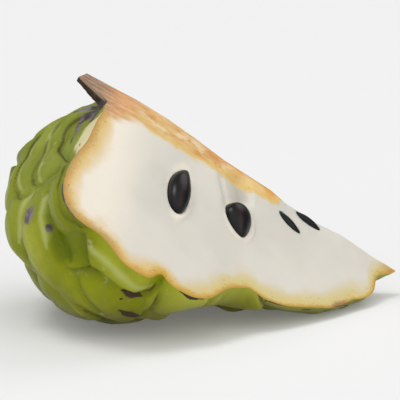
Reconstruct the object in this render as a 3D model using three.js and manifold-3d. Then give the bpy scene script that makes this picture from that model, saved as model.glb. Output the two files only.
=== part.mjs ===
// One quarter of a ripe custard apple, cut lengthwise, with its split stalk and the seeds left in the flesh.
// Millimetres, +Z up. The wedge lies on its skin with both cut faces leaning outward above it.
// Inside the fruit group, X runs along the fruit's own axis from the stalk to the tip,
// Z points away from the skin and Y away from the near cut face.
import * as THREE from "three";
import * as BufferGeometryUtils from "three/addons/utils/BufferGeometryUtils.js";
import Module from "manifold-3d";

const wasm = await Module();
wasm.setup();

// Driving dimensions of the whole fruit.
const FRUIT_LENGTH = 110;
const AXIS_PITCH = THREE.MathUtils.degToRad(32.8);
const CUT_HALF_ANGLE = THREE.MathUtils.degToRad(45);
const RIDGE_ROUNDING = 1.6;
const TOUCH_GAP = 0.3;
const RESTING_FLAT_DEPTH = 1.0;

// Seat of the stalk on the fruit.
const SEAT_A = -2.7;
const SEAT_RADIUS = 6.7;

// Outline of the near cut face: distance along the axis, distance out from the axis.
const NEAR_OUTLINE = [
  [SEAT_A, SEAT_RADIUS], [-3.3, 9.2], [-3.4, 11.4], [-4.5, 15.3], [-5.7, 24.3], [-7.8, 30.9], [-9.1, 35.4],
  [-9.8, 39.9], [-9.8, 44.3], [-9.2, 47.7], [-7.6, 50.9], [-5.4, 52.7], [-3.1, 53.6],
  [0.8, 54.1], [3.3, 53.9], [5.5, 54.7], [8.4, 56.1], [10.7, 57.9], [13.6, 59.3],
  [19.2, 59.5], [22.1, 59.0], [23.8, 56.6], [25.3, 54.7], [27.4, 56.8], [30.1, 57.4],
  [35.8, 57.1], [39.5, 55.6], [43.1, 52.8], [45.0, 49.9], [48.4, 45.7], [51.2, 44.4],
  [54.5, 42.0], [56.2, 42.4], [59.2, 43.0], [64.0, 42.2], [68.6, 40.7], [74.4, 37.5],
  [80.3, 34.2], [84.5, 31.8], [88.7, 28.2], [91.7, 24.9], [92.9, 23.2], [96.6, 20.9],
  [99.8, 17.8], [101.6, 14.0], [101.7, 9.9], [102.6, 7.4], [105.9, 4.8], [108.4, 3.1],
  [FRUIT_LENGTH - 0.2, 1.3],
];
const OUTLINE_STEPS = 200;
const OUTLINE_ROUNDING = 1.2;
const PROFILE_ROUNDING = 6;
const ROUNDING_WINDOW = 3;
const ROUNDING_END_ROOM = 2.5;
const NORMAL_STEP = 0.01;

// How far the middle of the skin stands out from the plain profile, at even steps from stalk to tip.
const MIDDLE_BULGE = [0, -0.5, -0.4, 4.8, 3.7, -0.7, -2.8, -2.6, 0.2, 0];

// Grid of the skin.
const ROWS = 52;
const ANGLE_STEP = 3.75;
const SKIN_END_ANGLE = 75;

// Knobs of the skin that were placed one by one:
// place from stalk to tip (0 to 1), angle round the axis in degrees, half length, half width, height.
const PLACED_KNOBS = [
  [0.06, 20, 11, 13, 2.0],
  [0.09, -8, 13, 16, 2.4],
  [0.085, -36, 15, 12, 3.8],
  [0.16, -20, 13, 14, 2.4],
  [0.21, 38, 12, 7, 1.8],
  [0.22, 2, 18, 9, 2.4],
  [0.26, 21, 24, 9, 2.6],
  [0.36, 42, 13, 8, 2.8],
  [0.39, 25, 18, 12, 3.2],
  [0.48, 38, 10, 10, 3.0],
  [0.60, 36, 13, 11, 4.0],
  [0.75, 38, 20, 11, 2.8],
  [0.89, 34, 11, 10, 2.6],
];
const KNOB_BASE = 1.3;
const KNOB_ROUNDNESS = 0.7;

// The knobs sink away over these shares of the skin's length next to the stalk and next to the tip.
const BARE_STALK_END = 0.03;
const BARE_TIP_END = 0.06;

// Broad swells and hollows that bring the skin to its true outline: place, angle, reach, height.
const SWELLS = [
  [0.06, -45, 9, -1.2], [0.165, -47, 7, -0.9], [0.23, -38, 8, -1.6], [0.228, -10, 9, 1.4],
  [0.262, 1, 5, 0.9], [0.285, -2, 6, -1.0], [0.335, -9, 7, -1.2], [0.365, 0, 10, -2.1],
  [0.382, 11, 5, -1.2], [0.49, 10, 7, -1.6], [0.5, 25, 5, 0.9], [0.515, 34, 8, -1.2],
  [0.6, 28, 8, -1.0], [0.65, 35, 8, -1.1], [0.655, 38, 4, -0.3], [0.69, 31, 5, -2.2],
  [0.74, 30, 7, -0.9], [0.755, 27, 8, -0.8], [0.876, 23, 6, -0.8], [0.965, 10, 4, 1.6],
];

// Knobs of the rest of the skin, in staggered rows.
const ROW_FIRST = 0.17;
const ROW_STEP = 0.1;
const ROW_COUNT = 8;
const ROW_KNOB_WIDTH = 21;
const ROW_KNOB = { halfLength: 12, halfWidth: 11, height: 3, fullHeightRadius: 58, leastRadius: 12 };
const ROW_FIRST_ANGLE = -50;
const ROW_LAST_ANGLE = 16;

// Nearer the stalk than this place, the rows keep to the far side of this angle.
const ROW_FREE_PLACE = 0.3;
const ROW_FREE_ANGLE = -30;

// The near rim follows its measured outline exactly, and that fades into the knobs over this distance.
const RIM_FADE = 7;

// Seeds: flattened eggs with one narrow end. For each: cut face (1 near, -1 far), place along the axis,
// distance from the axis, direction of the narrow end in the cut face in degrees from the axis,
// height of its middle above the face, roll about its own length in degrees, and length, width, thickness.
const SEED_SHARPNESS = 0.1;
const SEED_ROUND_SIDE = 1.06;
const SEED_STRAIGHT_SIDE = 0.88;
const SEED_COLUMNS = 14;
const SEED_ROWS = 10;
const SEEDS = [
  { name: "seed_1", face: 1, along: 26.3, out: 22.5, turn: -92, lift: 0.2, roll: 0, size: [17.2, 7.4, 6.4] },
  { name: "seed_2", face: 1, along: 47.6, out: 19.8, turn: 67, lift: -0.4, roll: 0, size: [12, 9.3, 6.4] },
  { name: "seed_3", face: 1, along: 66.7, out: 8.5, turn: 24, lift: -3.1, roll: 90, size: [13, 7.4, 4.4] },
  { name: "seed_4", face: 1, along: 73.9, out: 2.8, turn: 7, lift: -2.9, roll: 90, size: [12.6, 6.6, 3.8] },
  { name: "seed_5", face: -1, along: 20.5, out: 31.5, turn: -70, lift: 0.1, roll: 0, size: [16.8, 8.2, 6.2] },
  { name: "seed_6", face: -1, along: 43.5, out: 25.5, turn: -112, lift: -0.8, roll: 15, size: [16.2, 8, 6] },
  { name: "seed_7", face: -1, along: 62, out: 15.5, turn: 150, lift: -2.4, roll: 0, size: [15, 7.6, 5.8] },
];

// Taper of a seed, and how far its narrow and its broad end lean towards its straight side, in half widths.
const USUAL_SHAPE = { taper: 0.16, narrowLean: 0.3, broadLean: 0.1 };
const SEED_SHAPES = {
  seed_1: { taper: 0.16, narrowLean: 0.34, broadLean: 0 },
  seed_2: { taper: 0.3, narrowLean: 0, broadLean: -0.26 },
};

// Empty seed pocket in the far cut face: place, direction and half sizes.
const POCKET = { face: -1, along: 30, out: 14.5, turn: -60, half: [7.2, 4.4, 2.8] };
const POCKET_COLUMNS = 16;
const POCKET_ROWS = 10;

// Shallow saddle in the inner edge, where the fourth seed lies bare.
const RIDGE_DIP = { along: 72, lift: 1.6, half: [15, 8, 3] };
const RIDGE_DIP_COLUMNS = 20;
const RIDGE_DIP_ROWS = 12;

// Split stalk: a nearly straight cone, wider at its foot, with its bark partly pared flat.
const STALK_END_A = -13.4;
const STALK_END_RADIUS = 3.8;
const STALK_END_SLANT = 0.7;
const STALK_FOOT_A = SEAT_A - TOUCH_GAP;
const STALK_FOOT_RADIUS = 6.5;
const STALK_FLARE = 1.15;
const BARK_FLATNESS = 0.2;
const STALK_RINGS = 8;
const STALK_COLUMNS = 32;

// Length of the prism between the two cuts, which is longer than the fruit, and sides of its rounded edge.
const CUT_REACH = 200;
const RIDGE_SEGMENTS = 5;
const MERGE_DISTANCE = 1e-4;

const SKIN_COLOUR = 0x8a9a2a;
const STALK_COLOUR = 0x8a6a48;
const SEED_COLOUR = 0x1b1b1d;

// Evenly spaced points along a polyline.
function resample(points, steps) {
  const path = new THREE.CurvePath();
  for (let i = 1; i < points.length; i += 1) {
    path.add(new THREE.LineCurve(new THREE.Vector2(...points[i - 1]), new THREE.Vector2(...points[i])));
  }
  return path.getSpacedPoints(steps);
}

// Rounds the corners of a row of evenly spaced points and leaves its two ends in place.
function roundOff(points, reach) {
  const last = points.length - 1;
  return points.map((point, i) => {
    const room = Math.min(reach, i / ROUNDING_END_ROOM, (last - i) / ROUNDING_END_ROOM);
    if (room === 0) {
      return point.clone();
    }
    const sum = new THREE.Vector2();
    const first = Math.max(0, Math.floor(i - ROUNDING_WINDOW * room));
    let total = 0;
    for (let j = first; j <= Math.min(last, i + ROUNDING_WINDOW * room); j += 1) {
      const weight = Math.exp(-0.5 * ((j - i) / room) ** 2);
      sum.addScaledVector(points[j], weight);
      total += weight;
    }
    return sum.divideScalar(total);
  });
}

// Point of an evenly spaced row at a place from 0 to 1.
function pointAt(list, place) {
  const spot = THREE.MathUtils.clamp(place, 0, 1) * (list.length - 1);
  const low = Math.min(Math.floor(spot), list.length - 2);
  return list[low].clone().lerp(list[low + 1], spot - low);
}

const evenOutline = resample(NEAR_OUTLINE, OUTLINE_STEPS);
const rimOutline = roundOff(evenOutline, OUTLINE_ROUNDING);
const plainProfile = roundOff(evenOutline, PROFILE_ROUNDING);
const profileSteps = plainProfile.slice(1).map((point, i) => point.distanceTo(plainProfile[i]));
const profileLength = profileSteps.reduce((sum, step) => sum + step, 0);
const bulgeCurve = new THREE.SplineCurve(MIDDLE_BULGE.map((bulge, i) => new THREE.Vector2(i, bulge)));

// Outward direction of the plain profile.
function profileNormal(place) {
  const ahead = pointAt(plainProfile, place + NORMAL_STEP);
  const behind = pointAt(plainProfile, place - NORMAL_STEP);
  const run = ahead.sub(behind).normalize();
  return new THREE.Vector2(-run.y, run.x);
}

function rowKnobs() {
  const knobs = [];
  for (let row = 0; row < ROW_COUNT; row += 1) {
    const place = ROW_FIRST + row * ROW_STEP;
    const radius = pointAt(plainProfile, place).y;
    const step = THREE.MathUtils.radToDeg(ROW_KNOB_WIDTH / Math.max(radius, ROW_KNOB.leastRadius));
    const shift = row % 2 === 0 ? 0 : step / 2;
    for (let angle = ROW_FIRST_ANGLE - shift; angle < ROW_LAST_ANGLE; angle += step) {
      if (place > ROW_FREE_PLACE || angle < ROW_FREE_ANGLE) {
        const height = ROW_KNOB.height * Math.min(1, radius / ROW_KNOB.fullHeightRadius);
        knobs.push([place, angle, ROW_KNOB.halfLength, ROW_KNOB.halfWidth, height]);
      }
    }
  }
  return knobs;
}

const knobs = [...PLACED_KNOBS, ...rowKnobs()];

// Height of the knobs above the plain skin, the tallest one winning where two meet.
function knobHeight(place, angleDegrees, radius) {
  let tallest = 0;
  for (const [knobPlace, knobAngle, halfLength, halfWidth, height] of knobs) {
    const lengthwise = ((place - knobPlace) * profileLength) / halfLength;
    const sideways = (THREE.MathUtils.degToRad(angleDegrees - knobAngle) * radius) / halfWidth;
    const inside = 1 - lengthwise ** 2 - sideways ** 2;
    if (inside > 0) {
      tallest = Math.max(tallest, height * inside ** KNOB_ROUNDNESS);
    }
  }
  const ends = Math.min(1, place / BARE_STALK_END, (1 - place) / BARE_TIP_END);
  return (tallest - KNOB_BASE) * Math.max(ends, 0);
}

function swellHeight(place, angleDegrees, radius) {
  let height = 0;
  for (const [swellPlace, swellAngle, reach, swell] of SWELLS) {
    const lengthwise = ((place - swellPlace) * profileLength) / reach;
    const sideways = (THREE.MathUtils.degToRad(angleDegrees - swellAngle) * radius) / reach;
    height += swell * Math.exp(-(lengthwise ** 2) - sideways ** 2);
  }
  return height;
}

// Everything that lifts the skin off its plain profile.
function relief(place, angleDegrees, radius) {
  return knobHeight(place, angleDegrees, radius) + swellHeight(place, angleDegrees, radius);
}

// Point of the skin at a place from stalk to tip and an angle round the axis, as (along, out).
function skinPoint(place, angleDegrees) {
  const angle = THREE.MathUtils.degToRad(angleDegrees);
  const middle = Math.max(Math.cos((angle / CUT_HALF_ANGLE) * (Math.PI / 2)), 0);
  const bulge = bulgeCurve.getPoint(place).y * middle;
  const normal = profileNormal(place);
  const plain = pointAt(plainProfile, place).addScaledVector(normal, bulge);
  const point = plain.clone().addScaledVector(normal, relief(place, angleDegrees, plain.y));
  const rimPlain = pointAt(plainProfile, place);
  const rimAngle = THREE.MathUtils.radToDeg(CUT_HALF_ANGLE);
  const rimKnob = rimPlain.clone().addScaledVector(normal, relief(place, rimAngle, rimPlain.y));
  const fromRim = Math.max(CUT_HALF_ANGLE - angle, 0) * plain.y;
  const correction = pointAt(rimOutline, place).sub(rimKnob);
  point.addScaledVector(correction, Math.exp(-((fromRim / RIM_FADE) ** 2)));
  return point;
}

// Turns (along, out, angle) into the fruit group's X, Y, Z.
function place3(along, out, angle) {
  return new THREE.Vector3(along, -out * Math.sin(angle), -out * Math.cos(angle));
}

// Height in the resting pose of a point given in the fruit group.
function restingHeight(point) {
  return -point.x * Math.sin(AXIS_PITCH) + point.z * Math.cos(AXIS_PITCH);
}

// The whole fruit as a lathe body whose rows and columns are moved out to the knobbly skin.
function wholeFruit() {
  const profile = [new THREE.Vector2(0, FRUIT_LENGTH)];
  for (let row = ROWS; row >= 0; row -= 1) {
    const spot = pointAt(plainProfile, row / ROWS);
    profile.push(new THREE.Vector2(spot.y, spot.x));
  }
  profile.push(new THREE.Vector2(0, SEAT_A));
  const columns = 360 / ANGLE_STEP;
  const geometry = new THREE.LatheGeometry(profile, columns);
  const position = geometry.getAttribute("position");
  for (let i = 0; i < position.count; i += 1) {
    const row = ROWS + 1 - (i % profile.length);
    const turned = (Math.floor(i / profile.length) % columns) * ANGLE_STEP;
    const angleDegrees = turned > 180 ? turned - 360 : turned;
    const point = fruitPoint(row, angleDegrees);
    position.setXYZ(i, point.x, point.y, point.z);
  }
  flattenForRest(position);
  return geometry;
}

// Past the two cuts the skin only repeats, because the cuts take it away.
function fruitPoint(row, angleDegrees) {
  if (row < 0) {
    return place3(SEAT_A, 0, 0);
  }
  if (row > ROWS) {
    return place3(FRUIT_LENGTH, 0, 0);
  }
  const spot = skinPoint(row / ROWS, THREE.MathUtils.clamp(angleDegrees, -SKIN_END_ANGLE, SKIN_END_ANGLE));
  return place3(spot.x, spot.y, THREE.MathUtils.degToRad(angleDegrees));
}

// Presses the lowest skin of the belly and of the tip half flat on one level.
function flattenForRest(position) {
  let belly = Infinity;
  let tipHalf = Infinity;
  const point = new THREE.Vector3();
  for (let i = 0; i < position.count; i += 1) {
    point.fromBufferAttribute(position, i);
    if (point.x < FRUIT_LENGTH / 2) {
      belly = Math.min(belly, restingHeight(point));
    } else {
      tipHalf = Math.min(tipHalf, restingHeight(point));
    }
  }
  const level = Math.max(belly, tipHalf) + RESTING_FLAT_DEPTH;
  const up = new THREE.Vector3(-Math.sin(AXIS_PITCH), 0, Math.cos(AXIS_PITCH));
  for (let i = 0; i < position.count; i += 1) {
    point.fromBufferAttribute(position, i);
    const short = level - restingHeight(point);
    if (short > 0) {
      point.addScaledVector(up, short);
      position.setXYZ(i, point.x, point.y, point.z);
    }
  }
}

// The space between the two cuts: a long prism with a rounded inner edge along the axis.
function wedgeSpace() {
  const side = CUT_REACH * Math.SQRT1_2;
  const tangent = RIDGE_ROUNDING * Math.SQRT1_2;
  const section = new THREE.Shape();
  section.moveTo(-side, -side);
  section.lineTo(-tangent, -tangent);
  section.absarc(0, -RIDGE_ROUNDING * Math.SQRT2, RIDGE_ROUNDING, (3 * Math.PI) / 4, Math.PI / 4, true);
  section.lineTo(side, -side);
  section.closePath();
  const options = { depth: CUT_REACH, bevelEnabled: false, curveSegments: RIDGE_SEGMENTS };
  const geometry = new THREE.ExtrudeGeometry(section, options);
  const sectionX = new THREE.Vector3(0, 1, 0);
  const sectionY = new THREE.Vector3(0, 0, 1);
  const along = new THREE.Vector3(1, 0, 0);
  geometry.applyMatrix4(new THREE.Matrix4().makeBasis(sectionX, sectionY, along));
  geometry.translate(-CUT_REACH / 4, 0, 0);
  return geometry;
}

// Turns a piece lying on a cut face (X along the axis, Y outward over the face, Z out of the flesh)
// into the fruit group.
function faceMatrix({ face, along, out, turn, lift = 0 }) {
  const angle = face * CUT_HALF_ANGLE;
  const xAxis = new THREE.Vector3(1, 0, 0);
  const outward = place3(0, 1, angle);
  const proud = new THREE.Vector3(0, -face * Math.cos(angle), face * Math.sin(angle));
  const basis = new THREE.Matrix4().makeBasis(xAxis, outward, proud);
  if (basis.determinant() < 0) {
    basis.makeBasis(xAxis.negate(), outward, proud);
  }
  const sense = basis.elements[0];
  const spinAngle = THREE.MathUtils.degToRad(sense * turn) + (sense < 0 ? Math.PI : 0);
  const spin = new THREE.Matrix4().makeRotationZ(spinAngle);
  const spot = place3(along, out, angle).addScaledVector(proud, lift);
  return new THREE.Matrix4().makeTranslation(spot).multiply(basis).multiply(spin);
}

// A flattened egg lying along X, narrow at +X, rounder on its +Y side and straighter on the other.
function seedGeometry({ name, size }, extra) {
  const [length, width, thickness] = size;
  const shape = SEED_SHAPES[name] ?? USUAL_SHAPE;
  const geometry = new THREE.SphereGeometry(1, SEED_COLUMNS, SEED_ROWS);
  geometry.rotateZ(-Math.PI / 2);
  const position = geometry.getAttribute("position");
  for (let i = 0; i < position.count; i += 1) {
    const along = position.getX(i);
    const across = position.getY(i);
    const slim = 1 - shape.taper * along - SEED_SHARPNESS * along ** 2;
    const side = across > 0 ? SEED_ROUND_SIDE : SEED_STRAIGHT_SIDE;
    const leaning = (along > 0 ? shape.narrowLean : shape.broadLean) * Math.abs(along) ** 3;
    position.setXYZ(
      i,
      along * (length / 2 + extra),
      across * ((side * slim * width) / 2 + extra) - (leaning * width) / 2,
      position.getZ(i) * ((slim * thickness) / 2 + extra),
    );
  }
  return geometry;
}

function seedMatrix(seed) {
  const roll = new THREE.Matrix4().makeRotationX(THREE.MathUtils.degToRad(seed.roll));
  return faceMatrix(seed).multiply(roll);
}

function toSolid(geometry) {
  const bare = geometry.clone();
  bare.deleteAttribute("normal");
  bare.deleteAttribute("uv");
  const merged = BufferGeometryUtils.mergeVertices(bare, MERGE_DISTANCE);
  const index = merged.getIndex().array;
  const triangles = [];
  for (let i = 0; i < index.length; i += 3) {
    const [a, b, c] = [index[i], index[i + 1], index[i + 2]];
    if (a !== b && b !== c && c !== a) {
      triangles.push(a, b, c);
    }
  }
  const mesh = new wasm.Mesh({
    numProp: 3,
    vertProperties: new Float32Array(merged.getAttribute("position").array),
    triVerts: new Uint32Array(triangles),
  });
  return new wasm.Manifold(mesh);
}

function toGeometry(solid) {
  const mesh = solid.getMesh();
  const geometry = new THREE.BufferGeometry();
  geometry.setAttribute("position", new THREE.BufferAttribute(mesh.vertProperties, 3));
  geometry.setIndex(new THREE.BufferAttribute(mesh.triVerts, 1));
  geometry.computeVertexNormals();
  return geometry;
}

function fruitWedge() {
  let solid = toSolid(wholeFruit()).intersect(toSolid(wedgeSpace()));
  for (const seed of SEEDS) {
    const socket = seedGeometry(seed, TOUCH_GAP);
    socket.applyMatrix4(seedMatrix(seed));
    solid = solid.subtract(toSolid(socket));
  }
  const hollow = new THREE.SphereGeometry(1, POCKET_COLUMNS, POCKET_ROWS);
  hollow.scale(...POCKET.half);
  hollow.applyMatrix4(faceMatrix(POCKET));
  solid = solid.subtract(toSolid(hollow));
  const dip = new THREE.SphereGeometry(1, RIDGE_DIP_COLUMNS, RIDGE_DIP_ROWS);
  dip.scale(...RIDGE_DIP.half);
  dip.translate(RIDGE_DIP.along, 0, RIDGE_DIP.lift);
  return toGeometry(solid.subtract(toSolid(dip)));
}

// How far out the bark lies at an angle from its middle, between a round stem and a straight chord.
function barkShare(angle) {
  if (Math.abs(angle) > CUT_HALF_ANGLE) {
    return 1;
  }
  return 1 - BARK_FLATNESS + (BARK_FLATNESS * Math.cos(CUT_HALF_ANGLE)) / Math.cos(angle);
}

// Stalk: a lathe body, slanted at its broken end and split by the same two cuts.
function stalkGeometry() {
  const profile = [new THREE.Vector2(0, STALK_FOOT_A)];
  for (let ring = 0; ring <= STALK_RINGS; ring += 1) {
    const part = ring / STALK_RINGS;
    const flare = (1 - part) ** STALK_FLARE;
    const radius = STALK_END_RADIUS + (STALK_FOOT_RADIUS - STALK_END_RADIUS) * flare;
    profile.push(new THREE.Vector2(radius, STALK_FOOT_A + (STALK_END_A - STALK_FOOT_A) * part));
  }
  profile.push(new THREE.Vector2(0, STALK_END_A));
  const geometry = new THREE.LatheGeometry(profile, STALK_COLUMNS);
  const position = geometry.getAttribute("position");
  for (let i = 0; i < position.count; i += 1) {
    const share = barkShare(Math.atan2(position.getX(i), position.getZ(i)));
    const across = position.getX(i) * share;
    const down = position.getZ(i) * share;
    const nearFace = (across + down) * Math.SQRT1_2;
    const reach = (STALK_FOOT_A - position.getY(i)) / (STALK_FOOT_A - STALK_END_A);
    const slant = STALK_END_SLANT * reach ** 2 * (STALK_END_RADIUS - nearFace);
    position.setXYZ(i, position.getY(i) + slant, -across, -down);
  }
  return toGeometry(toSolid(geometry).intersect(toSolid(wedgeSpace())));
}

function material(colour, roughness) {
  return new THREE.MeshStandardMaterial({ color: colour, roughness, metalness: 0 });
}

function namedMesh(name, geometry, finish) {
  const mesh = new THREE.Mesh(geometry, finish);
  mesh.name = name;
  return mesh;
}

const fruit = new THREE.Group();
fruit.add(namedMesh("fruit_wedge", fruitWedge(), material(SKIN_COLOUR, 0.5)));
fruit.add(namedMesh("stalk", stalkGeometry(), material(STALK_COLOUR, 0.85)));
for (const seed of SEEDS) {
  const mesh = namedMesh(seed.name, seedGeometry(seed, 0), material(SEED_COLOUR, 0.2));
  seedMatrix(seed).decompose(mesh.position, mesh.quaternion, mesh.scale);
  fruit.add(mesh);
}
fruit.rotation.y = AXIS_PITCH;

// The object's origin is the middle of the footprint, on the surface that it lies on.
const custardApple = new THREE.Group();
custardApple.add(fruit);
custardApple.updateMatrixWorld(true);
const box = new THREE.Box3().setFromObject(custardApple, true);
fruit.position.set(-(box.min.x + box.max.x) / 2, -(box.min.y + box.max.y) / 2, -box.min.z);
custardApple.updateMatrixWorld(true);

export default custardApple;
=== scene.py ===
import math

import bmesh
import bpy
import numpy as np
from mathutils import Matrix, Vector, noise


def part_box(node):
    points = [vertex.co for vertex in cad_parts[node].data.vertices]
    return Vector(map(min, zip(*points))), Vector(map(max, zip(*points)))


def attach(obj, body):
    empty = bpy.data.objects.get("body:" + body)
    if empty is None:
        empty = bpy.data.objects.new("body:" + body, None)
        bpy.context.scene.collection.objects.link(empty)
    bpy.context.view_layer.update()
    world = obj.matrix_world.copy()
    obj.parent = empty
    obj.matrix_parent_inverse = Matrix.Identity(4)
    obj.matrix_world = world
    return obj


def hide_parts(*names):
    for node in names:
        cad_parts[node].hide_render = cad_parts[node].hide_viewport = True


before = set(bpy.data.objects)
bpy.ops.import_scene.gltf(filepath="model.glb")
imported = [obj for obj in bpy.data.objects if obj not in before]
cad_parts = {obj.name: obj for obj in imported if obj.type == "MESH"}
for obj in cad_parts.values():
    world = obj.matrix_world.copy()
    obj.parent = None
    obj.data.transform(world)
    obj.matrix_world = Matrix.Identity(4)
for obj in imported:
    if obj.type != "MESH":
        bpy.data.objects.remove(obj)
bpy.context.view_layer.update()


# Fruit wedge: a quarter of a ripe custard apple, cut lengthwise. It grew as one piece, from the waxy
# green knobs of its skin to the white flesh and the fibrous core, so it is one closed mesh.
# Everything here is worked out in the fruit's own frame, in millimetres: X along its axis from the
# stalk, Z away from the skin in the middle of the wedge, Y away from the near cut face.
MM = 0.001
FRUIT_LENGTH = 110
AXIS_PITCH = math.radians(32.8)
CUT_HALF_ANGLE = 45
RIDGE_ROUNDING = 1.6
SEAT_A = -2.7
SEAT_RADIUS = 6.7
BARK_FLATNESS = 0.2

# Outline of the near cut face: distance along the axis, distance out from the axis.
NEAR_OUTLINE = [
    (SEAT_A, SEAT_RADIUS), (-3.3, 9.2), (-3.4, 11.4), (-4.5, 15.3), (-5.7, 24.3), (-7.8, 30.9), (-9.1, 35.4),
    (-9.8, 39.9), (-9.8, 44.3), (-9.2, 47.7), (-7.6, 50.9), (-5.4, 52.7), (-3.1, 53.6),
    (0.8, 54.1), (3.3, 53.9), (5.5, 54.7), (8.4, 56.1), (10.7, 57.9), (13.6, 59.3),
    (19.2, 59.5), (22.1, 59.0), (23.8, 56.6), (25.3, 54.7), (27.4, 56.8), (30.1, 57.4),
    (35.8, 57.1), (39.5, 55.6), (43.1, 52.8), (45.0, 49.9), (48.4, 45.7), (51.2, 44.4),
    (54.5, 42.0), (56.2, 42.4), (59.2, 43.0), (64.0, 42.2), (68.6, 40.7), (74.4, 37.5),
    (80.3, 34.2), (84.5, 31.8), (88.7, 28.2), (91.7, 24.9), (92.9, 23.2), (96.6, 20.9),
    (99.8, 17.8), (101.6, 14.0), (101.7, 9.9), (102.6, 7.4), (105.9, 4.8), (108.4, 3.1),
    (FRUIT_LENGTH - 0.2, 1.3),
]
# How far the middle of the skin stands out from the plain profile, at even steps from stalk to tip.
MIDDLE_BULGE = [0, -0.5, -0.4, 4.8, 3.7, -0.7, -2.8, -2.6, 0.2, 0]
# Knobs that the photograph shows: place from stalk to tip, angle round the axis, half length,
# half width, height.
PLACED_KNOBS = [
    (0.06, 20, 11, 13, 2.0), (0.09, -8, 13, 16, 2.4), (0.085, -36, 15, 12, 3.8),
    (0.16, -20, 13, 14, 2.4), (0.21, 38, 12, 7, 1.8), (0.22, 2, 18, 9, 2.4),
    (0.26, 21, 24, 9, 2.6), (0.36, 42, 13, 8, 2.8), (0.39, 25, 18, 12, 3.2),
    (0.48, 38, 10, 10, 3.0), (0.60, 36, 13, 11, 4.0), (0.75, 38, 20, 11, 2.8),
    (0.89, 34, 11, 10, 2.6),
]
KNOB_BASE = 1.3
ROW_FIRST, ROW_STEP, ROW_COUNT = 0.17, 0.1, 8
ROW_KNOB_WIDTH, ROW_KNOB_HALF_LENGTH, ROW_KNOB_HALF_WIDTH, ROW_KNOB_HEIGHT = 21, 12, 11, 3
FULL_HEIGHT_RADIUS = 58
ROW_FIRST_ANGLE, ROW_LAST_ANGLE = -50, 16
SMALLEST_ROW_RADIUS = 12
# The photograph shows the skin up to this place, from this angle on.
SHOWN_PLACE, SHOWN_ANGLE = 0.3, -30
# Where the relief starts at the stalk and ends at the tip, as places.
STALK_FADE, TIP_FADE, KNOB_TIP_FADE = 0.03, 0.05, 0.06
RIM_FADE = 7
# Broad swells and hollows that bring the skin to its true outline: place, angle, reach, height.
SWELLS = [
    (0.06, -45, 9, -1.2), (0.165, -47, 7, -0.9), (0.23, -38, 8, -1.6), (0.228, -10, 9, 1.4),
    (0.262, 1, 5, 0.9), (0.285, -2, 6, -1.0), (0.335, -9, 7, -1.2), (0.365, 0, 10, -2.1),
    (0.382, 11, 5, -1.2),
    (0.49, 10, 7, -1.6), (0.5, 25, 5, 0.9), (0.515, 34, 8, -1.2), (0.6, 28, 8, -1.0), (0.65, 35, 8, -1.1),
    (0.655, 38, 4, -0.3), (0.69, 31, 5, -2.2), (0.74, 30, 7, -0.9), (0.755, 27, 8, -0.8),
    (0.876, 23, 6, -0.8), (0.965, 10, 4, 1.6),
]

ROWS = 330
FACE_COLUMNS = 48
SKIN_COLUMNS = 164
OUTLINE_STEPS = 200


def even(points, steps):
    """Evenly spaced points along a polyline."""
    points = np.array(points, float)
    run = np.r_[0, np.cumsum(np.hypot(*np.diff(points, axis=0).T))]
    spots = np.linspace(0, run[-1], steps + 1)
    return np.stack([np.interp(spots, run, points[:, i]) for i in (0, 1)], axis=1)


def round_off(points, reach):
    """Rounds the corners of a row of evenly spaced points and leaves its two ends in place."""
    out = points.copy()
    last = len(points) - 1
    for i in range(1, last):
        room = min(reach, i / 2.5, (last - i) / 2.5)
        j = np.arange(max(0, math.floor(i - 3 * room)), min(last, math.floor(i + 3 * room)) + 1)
        weight = np.exp(-0.5 * ((j - i) / room) ** 2)
        out[i] = (points[j] * weight[:, None]).sum(0) / weight.sum()
    return out


def at(points, place):
    """Points of an evenly spaced row at places from 0 to 1."""
    spots = np.linspace(0, 1, len(points))
    return np.stack([np.interp(place, spots, points[:, i]) for i in (0, 1)], axis=-1)


def catmull_rom(values, place):
    """A smooth curve through evenly spaced values, at places from 0 to 1."""
    values = np.array(values, float)
    last = len(values) - 1
    spot = np.clip(place, 0, 1) * last
    low = np.minimum(spot.astype(int), last - 1)
    t = spot - low
    p0, p1 = values[np.maximum(low - 1, 0)], values[low]
    p2, p3 = values[low + 1], values[np.minimum(low + 2, last)]
    v0, v1 = (p2 - p0) / 2, (p3 - p1) / 2
    return (2 * p1 - 2 * p2 + v0 + v1) * t**3 + (-3 * p1 + 3 * p2 - 2 * v0 - v1) * t**2 + v0 * t + p1


even_outline = even(NEAR_OUTLINE, OUTLINE_STEPS)
rim_outline = round_off(even_outline, 1.2)
plain_profile = round_off(even_outline, 6)
profile_length = np.hypot(*np.diff(plain_profile, axis=0).T).sum()


def profile_normal(place):
    run = at(plain_profile, place + 0.01) - at(plain_profile, place - 0.01)
    run /= np.hypot(run[..., 0], run[..., 1])[..., None]
    return np.stack([-run[..., 1], run[..., 0]], axis=-1)


def plain_point(place, angle):
    """The skin without its knobs, as (along, out)."""
    middle = np.maximum(np.cos(angle / CUT_HALF_ANGLE * np.pi / 2), 0)
    bulge = catmull_rom(MIDDLE_BULGE, place) * middle
    return at(plain_profile, place) + profile_normal(place) * bulge[..., None]


def in_fruit(spot, angle):
    """(along, out) at an angle round the axis, as X, Y, Z of the fruit's frame."""
    turn = np.radians(angle)
    return np.stack([spot[..., 0], -spot[..., 1] * np.sin(turn), -spot[..., 1] * np.cos(turn)], axis=-1)


def plain_skin(place, angle):
    return in_fruit(plain_point(place, angle), angle)


def end_fade(place, tip_fade):
    """From 0 at the stalk and at the tip to 1 between them."""
    return np.clip(np.minimum(place / STALK_FADE, (1 - place) / tip_fade), 0, 1)


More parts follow.
